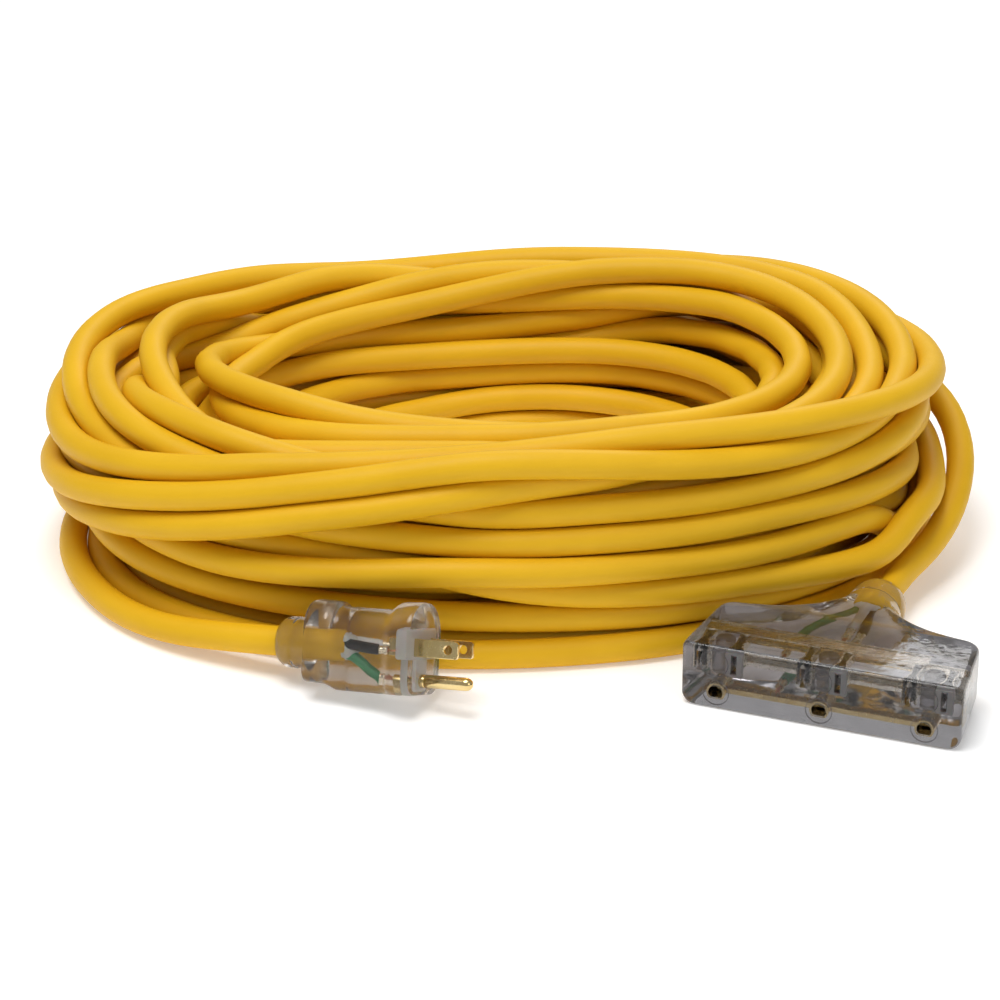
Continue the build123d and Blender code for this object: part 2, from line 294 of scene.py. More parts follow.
def settle(angle, goal, height, ends):
    """Lets the wound turns sink under their weight until they lie on and beside each other."""
    n = len(angle)
    turns = int(math.ceil(n / PER_TURN))
    index = np.arange(n)
    first, last = ends
    at_start = np.clip(1 - index / EASE, 0, 1)
    at_end = np.clip(1 - (n - 1 - index) / EASE, 0, 1)
    sides = (-np.sin(angle), np.sin(angle), -np.cos(angle), np.cos(angle))
    front, back, left, right = (np.clip(side, 0, 1) for side in sides)
    goal = goal * (1 + FRONT_SPREAD * front + 0.1 * back * left)
    weight = FALL * (1 + FRONT_FALL * front + 1.5 * back * left - 0.8 * right)
    out = goal.copy()
    z = height * (1 - 0.15 * front)
    out += at_start * (first[0] - out)
    out += at_end * (last[0] - out)
    loose = np.clip(index / PER_TURN - (turns - len(TOP_TURNS) - 1.5), 0, 1)
    outer_wall, inner_wall = walls(front, back, left, right, loose)
    circles = tail_circles(angle[0])
    for step in range(SETTLE_STEPS):
        done = step / SETTLE_STEPS
        out += 0.03 * (goal - out) * (1 - 0.7 * done)
        z -= weight * min(1.0, max(0.0, (0.75 - done) / 0.4))
        out = smoothed(out)
        z = smoothed(z)
        for _ in range(PUSHES):
            push_out, push_z = turn_pushes(out, z, turns)
            out += push_out
            z += push_z
            clear_tails(out, z, circles)
            z = np.maximum(z, FLOOR_Z)
            # the winding leans out at the front's foot and at the top of its left end
            low = np.clip((0.060 - z) / 0.030, 0, 1)
            lean = 0.007 * front * low * (1 - 0.9 * right) + left * (0.009 - 0.015 * low)
            out = np.clip(out, -inner_wall, outer_wall + lean)
        out += at_start * (first[0] - out)
        z += 0.8 * at_start * (first[1] - z)
        out += 0.6 * at_end * (last[0] - out)
        z += 0.6 * at_end * (last[1] - z)
        out[0], z[0] = first
        out[-1], z[-1] = last
    lift = (TILT * back * (right - left) - 0.06 * back) * (1 - at_start) * (1 - at_end)
    z = np.maximum(z * (1 + lift), FLOOR_Z)
    return place_on_coil(angle, out, z)


def near_pairs(q):
    """Pairs of places on the cord that are near each other but not neighbours along it."""
    pairs = []
    for i in range(0, len(q), 200):
        d = np.linalg.norm(q[i:i + 200, None, :] - q[None, :, :], axis=2)
        a, b = np.where(d < PAIR_REACH)
        keep = b > a + i + 8
        pairs.append(np.stack([a[keep] + i, b[keep]]))
    return np.concatenate(pairs, axis=1)


def strand_pushes(q, first, second):
    """Move of each place that parts the pairs which share space, upwards most of all."""
    d = q[first] - q[second]
    gap = np.linalg.norm(d, axis=1) + 1e-9
    over = np.maximum(STRAND_GAP - gap, 0)
    push = d / gap[:, None] * np.array([1.0, 1.0, 1.6])
    push *= (0.5 * over)[:, None]
    total = np.zeros_like(q)
    hits = np.zeros(len(q))
    for at, way in ((first, push), (second, -push)):
        np.add.at(total, at, way)
        np.add.at(hits, at, over > 0)
    return total / np.maximum(hits, 1)[:, None] ** 0.5


def ease_bends(p, move):
    """Adds to each control point's move what opens a bend that is too tight."""
    bend = np.zeros_like(p)
    bend[2:-2] = p[:-4] - 2 * p[2:-2] + p[4:]
    size = np.linalg.norm(bend, axis=1)
    half = np.zeros(len(p))
    half[2:-2] = np.linalg.norm(p[4:] - p[:-4], axis=1) / 2
    limit = half ** 2 / LEAST_BEND
    ease = bend * (0.5 * np.clip(1 - limit / np.maximum(size, 1e-9), 0, 1))[:, None]
    move += ease
    move[2:] -= 0.25 * ease[:-2]
    move[:-2] -= 0.25 * ease[2:]


def part_strands(turns):
    """Joins the free stretches to the turns, parts strands that share space and eases tight bends."""
    before = np.array(PLUG_ROUTE[:-1])
    after = np.array(CONNECTOR_ROUTE[-2::-1])
    p = np.concatenate([before, turns, after])
    n = len(p)
    free = np.zeros(n)
    free[len(before):n - len(after)] = 1.0
    ramp = np.minimum(np.arange(n) - len(before), n - len(after) - 1 - np.arange(n)) / 4.0
    free *= np.clip(ramp + 0.5, 0, 1)
    q = np.empty((2 * n - 1, 3))
    for step in range(PART_STEPS):
        # places on the spline: one near each control point and one between each two
        q[0::2] = p
        q[2:-1:2] = (p[:-2] + 6 * p[1:-1] + p[2:]) / 8
        q[1::2] = (p[:-1] + p[1:]) / 2
        if step % PAIRS_EVERY == 0:
            first, second = near_pairs(q)
        total = strand_pushes(q, first, second)
        move = total[0::2].copy()
        move[:-1] += 0.5 * total[1::2]
        move[1:] += 0.5 * total[1::2]
        for _ in range(4):
            move[1:-1] = 0.25 * move[:-2] + 0.5 * move[1:-1] + 0.25 * move[2:]
        ease_bends(p, move)
        p += 0.6 * free[:, None] * move
        p[:, 2] = np.where(free > 0, np.maximum(p[:, 2], FLOOR_Z), p[:, 2])
    return p


def make_cord():
    """The whole cord as one smooth curve: plug tail, wound turns, connector tail."""
    points = part_strands(settle(*wound_turns()))
    curve = bpy.data.curves.new("cord", "CURVE")
    curve.dimensions = "3D"
    spline = curve.splines.new("NURBS")
    spline.points.add(len(points) - 1)
    for point, place in zip(spline.points, points):
        point.co = (*place, 1.0)
    spline.order_u = 3
    spline.use_endpoint_u = True
    spline.resolution_u = 4
    curve.bevel_depth = CORD_R
    curve.bevel_resolution = 6
    curve.use_fill_caps = True
    cord = bpy.data.objects.new("cord", curve)
    bpy.context.collection.objects.link(cord)
    return cord


cord = make_cord()


# ---------- materials
def new_material(name):
    """Node material, with its tree, its shader and the object's own coordinates."""
    made = bpy.data.materials.new(name)
    made.use_nodes = True
    tree = made.node_tree
    shader = tree.nodes["Principled BSDF"]
    coords = tree.nodes.new("ShaderNodeTexCoord")
    return made, tree, shader, coords.outputs["Object"]


def noise(tree, coords, scale, detail=3.0, stretch=None):
    """Noise pattern in the object's own space; scale is in features per metre."""
    if stretch:
        mapping = tree.nodes.new("ShaderNodeMapping")
        mapping.inputs["Scale"].default_value = stretch
        tree.links.new(coords, mapping.inputs["Vector"])
        coords = mapping.outputs["Vector"]
    node = tree.nodes.new("ShaderNodeTexNoise")
    node.inputs["Scale"].default_value = scale
    node.inputs["Detail"].default_value = detail
    node.inputs["Roughness"].default_value = 0.55
    tree.links.new(coords, node.inputs["Vector"])
    return node.outputs["Fac"]


def remap(tree, value, low, high, start=0.35, end=0.65):
    """Value stretched from one range to another."""
    node = tree.nodes.new("ShaderNodeMapRange")
    node.inputs["From Min"].default_value = start
    node.inputs["From Max"].default_value = end
    node.inputs["To Min"].default_value = low
    node.inputs["To Max"].default_value = high
    tree.links.new(value, node.inputs["Value"])
    return node.outputs["Result"]


def two_colours(tree, value, first, second):
    """Colour that drifts between two, by a noise value."""
    ramp = tree.nodes.new("ShaderNodeValToRGB")
    ramp.color_ramp.elements[0].position = 0.3
    ramp.color_ramp.elements[1].position = 0.7
    ramp.color_ramp.elements[0].color = (*first, 1)
    ramp.color_ramp.elements[1].color = (*second, 1)
    tree.links.new(value, ramp.inputs["Fac"])
    return ramp.outputs["Color"]


def bump(tree, shader, value, strength, distance):
    """Fine relief of the shader's surface."""
    node = tree.nodes.new("ShaderNodeBump")
    node.inputs["Strength"].default_value = strength
    node.inputs["Distance"].default_value = distance
    tree.links.new(value, node.inputs["Height"])
    tree.links.new(node.outputs["Normal"], shader.inputs["Normal"])


def plain_plastic(name, first, second, rough, grain=900.0, mottle=60.0, sub=0.0):
    """Moulded or extruded plastic: slow colour drift, fine uneven gloss and a faint skin."""
    made, tree, shader, coords = new_material(name)
    drift = noise(tree, coords, mottle)
    tree.links.new(two_colours(tree, drift, first, second), shader.inputs["Base Color"])
    fine = noise(tree, coords, grain, 2.0)
    tree.links.new(remap(tree, fine, rough - 0.04, rough + 0.06), shader.inputs["Roughness"])
    bump(tree, shader, fine, 0.35, 0.00006)
    shader.inputs["Subsurface Weight"].default_value = sub
    shader.inputs["Subsurface Scale"].default_value = 0.002
    return made


def metal(name, first, second, rough, streaks=(1.0, 1.0, 1.0)):
    """Stamped metal: drawn streaks, slight tarnish."""
    made, tree, shader, coords = new_material(name)
    tarnish = noise(tree, coords, 120.0)
    tree.links.new(two_colours(tree, tarnish, first, second), shader.inputs["Base Color"])
    lines = noise(tree, coords, 700.0, stretch=streaks)
    tree.links.new(remap(tree, lines, rough - 0.04, rough + 0.08), shader.inputs["Roughness"])
    bump(tree, shader, lines, 0.12, 0.00002)
    shader.inputs["Metallic"].default_value = 1.0
    return made


def clear_vinyl(name, first, second, rough, ripple, haze=0.0):
    """Clear moulding: faint grey cast, cloudy patches and a rippled skin."""
    made, tree, shader, coords = new_material(name)
    cloud = noise(tree, coords, 70.0)
    tree.links.new(two_colours(tree, cloud, first, second), shader.inputs["Base Color"])
    gloss = remap(tree, noise(tree, coords, 260.0), rough - 0.03, rough + 0.1, 0.4, 0.75)
    tree.links.new(gloss, shader.inputs["Roughness"])
    bump(tree, shader, noise(tree, coords, 150.0, 2.0), ripple, 0.0006)
    shader.inputs["Transmission Weight"].default_value = 1.0 - haze
    shader.inputs["IOR"].default_value = 1.42
    shader.inputs["Specular IOR Level"].default_value = 0.3
    return made


YELLOW = plain_plastic("yellow_vinyl", (0.72, 0.405, 0.006), (0.78, 0.450, 0.009), 0.52, 1400.0, mottle=25.0)
YELLOW.node_tree.nodes["Principled BSDF"].inputs["Specular IOR Level"].default_value = 0.26
CLEAR_PLUG = clear_vinyl("clear_vinyl_plug", (0.60, 0.58, 0.565), (0.74, 0.72, 0.705), 0.14, 0.25, 0.03)
CLEAR_BLOCK = clear_vinyl("clear_vinyl_block", (0.20, 0.19, 0.20), (0.32, 0.31, 0.325), 0.08, 0.3, 0.03)
DOME = clear_vinyl("clear_insert", (0.50, 0.49, 0.52), (0.68, 0.66, 0.68), 0.16, 0.3, 0.2)
FROSTED = plain_plastic("frosted_insert", (0.76, 0.74, 0.69), (0.88, 0.86, 0.82), 0.42, sub=0.2)
FROSTED.node_tree.nodes["Principled BSDF"].inputs["Transmission Weight"].default_value = 0.2
BLACK = plain_plastic("black_insulation", (0.008, 0.008, 0.010), (0.02, 0.02, 0.024), 0.32)
WHITE = plain_plastic("white_insulation", (0.66, 0.65, 0.62), (0.80, 0.79, 0.76), 0.40, sub=0.1)
GREEN = plain_plastic("green_insulation", (0.05, 0.28, 0.11), (0.09, 0.38, 0.17), 0.36)
BRASS = metal("brass", (0.74, 0.55, 0.22), (0.86, 0.68, 0.34), 0.2, (1.0, 1.0, 0.2))
STRIP = metal("plated_brass_strip", (0.90, 0.83, 0.66), (0.98, 0.94, 0.84), 0.24, (0.3, 1.0, 1.0))
BRIGHT = metal("tinned_crimp", (0.78, 0.66, 0.46), (0.92, 0.82, 0.62), 0.22)
COPPER = metal("copper_strand", (0.70, 0.30, 0.17), (0.90, 0.48, 0.32), 0.30)
LAMP = clear_vinyl("lamp_glass", (0.85, 0.72, 0.60), (0.92, 0.82, 0.72), 0.05, 0.1)
RESISTOR = plain_plastic("resistor_body", (0.50, 0.36, 0.20), (0.62, 0.46, 0.28), 0.5)


# ---------- where the mouldings lie
def mount(name):
    """Place and axis of one of the record's mounts."""
    found = next(m for m in frame["record"]["mounts"] if m["name"] == name)
    return Vector(found["pos_m"]), Vector(found["axis"]).normalized()


def placed(origin, x, y, z):
    """Matrix of a moulding's own frame, from its origin and its three axes."""
    turn = Matrix((x, y, z)).transposed().to_4x4()
    return Matrix.Translation(origin) @ turn


# millimetres in a moulding's own frame
PIN_BELOW = 11.9
PIN_MIDDLE = 9.0
GROUND_Z = 6.4
SLOT_Z = GROUND_Z + PIN_BELOW
OUTLET_STEP = 38.1
OUTLETS = (-OUTLET_STEP, 0.0, OUTLET_STEP)
BLADE_Y = 6.35


def plug_frame():
    """Plug: X out of its face, Y across the blades, Z away from the ground pin."""
    face, out = mount("plug_blades")
    pin, _ = mount("plug_ground_pin")
    up = (face + PIN_MIDDLE * MM * out - pin).normalized()
    return placed(face, out, up.cross(out), up)


def block_frame():
    """Outlet block: X along its face, Y into the body, Z up."""
    middle_slots, towards = mount("outlet_middle_slots")
    left, _ = mount("outlet_left_ground")
    right, _ = mount("outlet_right_ground")
    along = (right - left).normalized()
    into = -towards
    up = along.cross(into)
    return placed(middle_slots - SLOT_Z * MM * up, along, into, up)


PLUG = plug_frame()
BLOCK = block_frame()


def pale_neck(made, where, start, end, pale):
    """Let a moulding's tint pale towards its thin neck, between two distances behind the face."""
    tree = made.node_tree
    shader = tree.nodes["Principled BSDF"]
    coords = tree.nodes["Texture Coordinate"]
    into = (where.to_3x3() @ Vector((0, 1, 0))).normalized()
    face = into.dot(where.translation)
    depth = tree.nodes.new("ShaderNodeVectorMath")
    depth.operation = "DOT_PRODUCT"
    depth.inputs[1].default_value = into
    tree.links.new(coords.outputs["Object"], depth.inputs[0])
    share = remap(tree, depth.outputs["Value"], 0.0, 1.0, face + start * MM, face + end * MM)
    tint = shader.inputs["Base Color"].links[0].from_socket
    blend = tree.nodes.new("ShaderNodeMixRGB")
    blend.inputs["Color2"].default_value = (*pale, 1)
    tree.links.new(share, blend.inputs["Fac"])
    tree.links.new(tint, blend.inputs["Color1"])
    tree.links.new(blend.outputs["Color"], shader.inputs["Base Color"])


pale_neck(CLEAR_BLOCK, BLOCK, 50.0, 64.0, (0.80, 0.78, 0.72))


# ---------- mesh helpers
# a shape is (verts, faces), in millimetres of a moulding's own frame
SHARP = 32.0
WELD = 1e-7
CORNER_STEPS = 8


def shape_mesh(name, shape, where, weld=False):
    """Mesh of a shape, in the shared frame, with its faces turned outwards."""
    verts, faces = shape
    mesh = bpy.data.meshes.new(name)
    mesh.from_pydata([where @ (Vector(v) * MM) for v in verts], [], faces)
    work = bmesh.new()
    work.from_mesh(mesh)
    if weld:
        bmesh.ops.remove_doubles(work, verts=work.verts, dist=WELD)
    bmesh.ops.recalc_face_normals(work, faces=work.faces)
    work.to_mesh(mesh)
    work.free()
    return mesh


def shade(mesh, sharp):
    """Smooth shading, apart from edges that turn by more than an angle in degrees."""
    mesh.shade_smooth()
    mesh.set_sharp_from_angle(angle=math.radians(sharp))


def adder(where):
    """A function that adds pieces in one moulding's frame, and the list that it fills."""
    pieces = []

    def add(name, shape, look, slot_name, *replaced, sharp=SHARP):
        mesh = shape_mesh(name, shape, where, weld=True)
        shade(mesh, sharp)
        mesh.materials.append(look)
        piece = bpy.data.objects.new(name, mesh)
        bpy.context.collection.objects.link(piece)
        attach(piece, "root")
        if replaced:
            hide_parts(*replaced)
        pieces.append(piece)
        return piece

    return add, pieces


def join(*shapes):
    """Several (verts, faces) as one."""
    verts = []
    faces = []
    for v, f in shapes:
        base = len(verts)
        verts += list(v)
        faces += [tuple(i + base for i in face) for face in f]
    return verts, faces


def band(a, b, n):
    """Faces between two rings of n points, from the numbers of their first points."""
    return [(a + i, a + (i + 1) % n, b + (i + 1) % n, b + i) for i in range(n)]


def loft(rings):
    """Closed skin through rings of the same number of points, with flat ends."""
    n = len(rings[0])
    verts = [p for ring in rings for p in ring]
    faces = [face for k in range(len(rings) - 1) for face in band(k * n, (k + 1) * n, n)]
    faces.append(tuple(reversed(range(n))))
    faces.append(tuple(range((len(rings) - 1) * n, len(rings) * n)))
    return verts, faces


def closed_rings(rings):
    """Skin through rings of the same number of points, the last joined to the first."""
    n = len(rings[0])
    verts = [p for ring in rings for p in ring]
    faces = [face for k in range(len(rings)) for face in band(k * n, (k + 1) % len(rings) * n, n)]
    return verts, faces


def outline(half, low, high, round_low, round_high):
    """Ring of (across, up) points round an upright outline with rounded corners."""
    corners = (
        (half - round_low, low + round_low, round_low, -90),
        (half - round_high, high - round_high, round_high, 0),
        (round_high - half, high - round_high, round_high, 90),
        (round_low - half, low + round_low, round_low, 180),
    )
    ring = []
    for across, up, radius, start in corners:
        for i in range(CORNER_STEPS + 1):
            a = math.radians(start + 90 * i / CORNER_STEPS)
            ring.append((across + radius * math.cos(a), up + radius * math.sin(a)))
    return ring


def circle(radius, n):
    """Points of a circle about the origin."""
    turn = 2 * math.pi
    return [(radius * math.cos(turn * i / n), radius * math.sin(turn * i / n)) for i in range(n)]


def tube(points, radii, n=16, ends=0.35):
    """Round tube along points, with softly rounded ends; radii is one number or one for each point."""
    p = [Vector(q) for q in points]
    if not hasattr(radii, "__len__"):
        radii = [radii] * len(p)
    rings = []
    side = None
    for i, q in enumerate(p):
        ahead = (p[min(i + 1, len(p) - 1)] - p[max(i - 1, 0)]).normalized()
        if side is None:
            side = ahead.orthogonal().normalized()
        side = (side - side.dot(ahead) * ahead).normalized()
        other = ahead.cross(side)
        sizes = [(0.0, radii[i])]
        if i == 0:
            sizes = [(0.0, radii[i] - ends), (ends, radii[i])]
        elif i == len(p) - 1:
            sizes = [(-ends, radii[i]), (0.0, radii[i] - ends)]
        for shift, r in sizes:
            centre = q + ahead * shift
            rings.append([tuple(centre + side * a + other * b) for a, b in circle(r, n)])
    return loft(rings)


def smooth_line(points, count):
    """Curve near some points, in about as many points as asked for."""
    return [tuple(q) for q in spline_points(points, max(2, count // len(points)))]


def box(low, high, round_edge):
    """Block with softened edges."""
    shape = bmesh.new()
    bmesh.ops.create_cube(shape, size=1.0)
    for v in shape.verts:
        v.co = Vector([a + (b - a) * (c + 0.5) for a, b, c in zip(low, high, v.co)])
    if round_edge > 0:
        bmesh.ops.bevel(
            shape, geom=shape.edges[:], offset=round_edge, segments=2, affect="EDGES", profile=0.5,
        )
    shape.verts.index_update()
    verts = [tuple(v.co) for v in shape.verts]
    faces = [tuple(v.index for v in f.verts) for f in shape.faces]
    shape.free()
    return verts, faces


def prism(profile, start, end, axis):
    """Closed profile pushed along an axis (0 X, 1 Y), from the two other coordinates of its points."""
    def at(point, t):
        return (t, point[0], point[1]) if axis == 0 else (point[0], t, point[1])

    return loft([[at(q, start) for q in profile], [at(q, end) for q in profile]])


def ribbon(line, thick):
    """Outline of a bent sheet that follows a line of points."""
    sides = ([], [])
    for i, (a, b) in enumerate(line):
        before = line[max(i - 1, 0)]
        after = line[min(i + 1, len(line) - 1)]
        d = Vector((after[0] - before[0], after[1] - before[1])).normalized()
        sides[0].append((a - d.y * thick / 2, b + d.x * thick / 2))
        sides[1].append((a + d.y * thick / 2, b - d.x * thick / 2))
    return sides[0] + sides[1][::-1]


def carve(obj, cutter_shape, where):
    """Cuts a shape out of a piece."""
    cutter = bpy.data.objects.new("cutter", shape_mesh("cutter", cutter_shape, where))
    bpy.context.collection.objects.link(cutter)
    cut = obj.modifiers.new("cut", "BOOLEAN")
    cut.object = cutter
    cut.operation = "DIFFERENCE"
    cut.solver = "EXACT"
    graph = bpy.context.evaluated_depsgraph_get()
    carved = bpy.data.meshes.new_from_object(obj.evaluated_get(graph))
    obj.modifiers.clear()
    obj.data = carved
    shade(carved, SHARP)
    bpy.data.objects.remove(cutter)


def steps_between(stations, spacing):
    """Smoothly blended stations; each is (position, values...)."""
    line = []
    for a, b in zip(stations, stations[1:]):
        n = max(1, int(math.ceil(abs(b[0] - a[0]) / spacing)))
        for i in range(n):
            t = i / n
            s = t * t * (3 - 2 * t)
            blend = [p + (q - p) * s for p, q in zip(a[1:], b[1:])]
            line.append([a[0] + (b[0] - a[0]) * t] + blend)
    line.append(list(stations[-1]))
    return line


# ---------- plug
PLUG_STATIONS = (
    # along, half width, low, high, lower rounding, upper rounding; from the cord to the face
    (-57.0, 6.4, -7.9, 4.9, 6.3, 6.3),
    (-56.6, 7.6, -9.1, 6.1, 7.5, 7.5),
    (-55.4, 8.7, -10.2, 7.2, 8.6, 8.6),
    (-53.6, 9.3, -10.8, 7.8, 9.2, 9.2),
    (-50.6, 9.4, -10.9, 7.9, 9.3, 9.3),
    (-50.2, 8.9, -10.4, 7.4, 8.8, 8.8),
    (-49.3, 8.9, -10.4, 7.4, 8.8, 8.8),
    (-48.9, 9.3, -10.8, 7.8, 9.2, 9.2),
    (-43.6, 9.3, -10.8, 7.8, 9.2, 9.2),
    (-43.2, 11.6, -14.2, 13.6, 5.2, 9.0),
    (-42.8, 12.4, -14.9, 14.4, 4.8, 9.6),
    (-42.0, 12.6, -15.0, 14.6, 4.6, 9.8),
    (-35.5, 12.6, -15.2, 14.4, 4.8, 9.8),
    (-30.6, 11.0, -17.3, 12.6, 5.4, 9.3),
    (-13.2, 11.0, -17.4, 12.7, 5.4, 9.3),
    (-7.2, 13.1, -17.3, 15.8, 5.4, 11.2),
    (-1.6, 13.2, -17.2, 16.0, 6.0, 11.4),
    (-0.5, 12.8, -16.8, 15.6, 5.8, 11.2),
    (0.0, 11.9, -15.9, 14.7, 5.2, 10.6),
)
# ends of the plug's metal and jacket along its X, measured from its face
PLATE_BACK = -6.6
TAIL_X = -9.6
JACKET_X = -29.3
BLADE_TIP = 15.9
PIN_TIP = 19.1
PIN_DOME = 16.3
# radii inside both mouldings
JACKET_R = 5.4
WIRE_R = 1.95
PLUG_CORD_Z = -1.5


def plug_shell():
    rings = [[(s[0], a, b) for a, b in outline(*s[1:])] for s in steps_between(PLUG_STATIONS, 1.0)]
    return loft(rings)


def blade_rim(root, tip, half, corner, hole_x, n):
    """Outline of a blade in its own plane, by even angles round its hole."""
    rim = []
    for i in range(n):
        a = 2 * math.pi * (i + 0.5) / n
        c, s = math.cos(a), math.sin(a)
        reach_x = (tip - hole_x) if c > 0 else (hole_x - root)
        t = min(reach_x / max(abs(c), 1e-6), half / max(abs(s), 1e-6))
        x, z = hole_x + t * c, t * s
        if x > tip - corner and abs(z) > half - corner:
            d = Vector((x - (tip - corner), abs(z) - (half - corner)))
            d = d.normalized() * corner
            x, z = tip - corner + d.x, math.copysign(half - corner + d.y, z)
        rim.append((x, z))
    for side in (-1, 1):
        wanted = (root, side * half)
        k = min(range(n), key=lambda i: (rim[i][0] - wanted[0]) ** 2 + (rim[i][1] - wanted[1]) ** 2)
        rim[k] = wanted
    return rim


def blade(side):
    """Flat blade: rounded tip corners, a round hole, a tail that reaches into the carrier."""
    half, corner, hole_x, hole_r, thick, edge = 3.175, 1.4, 11.9, 1.6, 0.76, 0.22
    n = 48
    rim = blade_rim(TAIL_X, BLADE_TIP, half, corner, hole_x, n)
    y0 = side * BLADE_Y
    rings = []
    for y, inset in ((-thick, edge), (-thick + edge, 0.0), (thick - edge, 0.0), (thick, edge)):
        ring = []
        for x, z in rim:
            x = min(max(x, TAIL_X + inset), BLADE_TIP - inset)
            ring.append((x, y0 + y, max(-half + inset, min(half - inset, z))))
        rings.append(ring)
    for y, grow in ((thick, 0.2), (thick - edge, 0.0), (-thick + edge, 0.0), (-thick, 0.2)):
        ring = []
        for i in range(n):
            a = 2 * math.pi * (i + 0.5) / n
            r = hole_r + grow
            ring.append((hole_x + r * math.cos(a), y0 + y, r * math.sin(a)))
        rings.append(ring)
    return closed_rings(rings)


def ground_pin():
    """Rolled pin with a domed tip and a fine groove just outside the plug's face."""
    r = 2.39
    shape = [(TAIL_X, 1.7), (TAIL_X + 0.2, 2.1), (-2.2, 2.1), (-2.0, r), (0.4, r), (0.7, r - 0.12), (1.0, r)]
    shape.append((PIN_DOME, r))
    for i in range(1, 8):
        a = math.pi / 2 * i / 8
        shape.append((PIN_DOME + 2.8 * math.sin(a), r * math.cos(a) ** 0.85))
    shape.append((PIN_TIP, 0.25))
    rings = [[(x, a, b - PIN_BELOW) for a, b in circle(q, 32)] for x, q in shape]
    return loft(rings)


def strands(start, end, count, spread, radius, seed):
    """Loose bundle of fine strands between two points."""
    rng = np.random.default_rng(seed)
    start, end = Vector(start), Vector(end)
    shapes = []
    for _ in range(count):
        a = start + Vector(rng.normal(0, spread * 0.5, 3))
        b = end + Vector(rng.normal(0, spread, 3))
        m = (a + b) / 2 + Vector(rng.normal(0, spread * 0.9, 3))
        shapes.append(tube(smooth_line([a, m, b], 9), radius, 6, radius * 0.4))
    return join(*shapes)


def crimp(start, end, radius, along=0):
    """Folded barrel along X (0) or Y (1), with a crease on top, pinched at its middle."""
    start = Vector(start)
    run = Vector(end) - start
    rings = []
    for t in (0.0, 0.06, 0.25, 0.45, 0.55, 0.75, 0.94, 1.0):
        pinch = 0.86 if 0.4 < t < 0.6 else (0.9 if t in (0.0, 1.0) else 1.0)
        centre = start + run * t
        ring = []
        for i in range(24):
            q = 2 * math.pi * i / 24
            crease = 0.28 * math.exp(-((q - math.pi / 2) / 0.35) ** 2)
            r = radius * pinch * (1 - crease)
            across, up = r * math.cos(q), centre.z + r * math.sin(q)
            x, y = (0, across) if along == 0 else (across, 0)
            ring.append((centre.x + x, centre.y + y, up))
        rings.append(ring)
    return loft(rings)


def directions(run):
    """Direction of a run, and two across it."""
    ahead = run.normalized()
    side = ahead.orthogonal().normalized()
    return ahead, side, ahead.cross(side)


JACKET_RINGS = (
    # share of the length, share of the radius, how far the rim is torn
    (0, 0.97, 0), (0.03, 1.0, 0), (0.3, 1.0, 0), (0.6, 1.01, 0),
    (0.85, 1.0, 0.2), (0.97, 0.99, 0.9), (1.0, 0.9, 1.0), (0.99, 0.5, 0.8),
)


def jacket_end(start, end, seed):
    """Cut end of the jacket inside a moulding: a slightly uneven tube with a torn rim."""
    rng = np.random.default_rng(seed)
    start = Vector(start)
    run = Vector(end) - start
    ahead, side, other = directions(run)
    rim = rng.normal(0, 0.35, 24)
    rim = (rim + np.roll(rim, 1) + np.roll(rim, -1)) / 2
    rings = []
    for t, r, ragged in JACKET_RINGS:
        centre = start + run * t
        ring = []
        for i, (a, b) in enumerate(circle(JACKET_R * r, 24)):
            ring.append(tuple(centre + side * a + other * b + ahead * rim[i] * ragged))
        rings.append(ring)
    return loft(rings)


def filler(start, end, radius, seed):
    """Tuft of pale filler between the jacket's cut end and the wires."""
    rng = np.random.default_rng(seed)
    start = Vector(start)
    run = Vector(end) - start
    _, side, other = directions(run)
    rings = []
    for t, r in ((0.0, 1.0), (0.2, 1.02), (0.45, 0.9), (0.7, 0.66), (0.9, 0.4), (1.0, 0.2)):
        lumps = rng.normal(0, 0.12, 20)
        lumps = (lumps + np.roll(lumps, 1)) / 2
        centre = start + run * t
        ring = []
        for i, (a, b) in enumerate(circle(radius * r, 20)):
            ring.append(tuple(centre + (side * a + other * b) * (1 + lumps[i])))
        rings.append(ring)
    return loft(rings)


PLUG_WIRES = (
    # name, look, colour slot, start across and up, end across and up, crimp from and to
    ("hot", BLACK, "black_insulation", -2.4, -0.6, -BLADE_Y, -1.5, -14.4, -9.8),
    ("neutral", WHITE, "white_insulation", 2.4, 0.2, BLADE_Y, -0.6, -14.4, -9.8),
    ("ground", GREEN, "green_insulation", -0.6, -4.1, -0.6, -11.2, -14.5, -11.1),
)


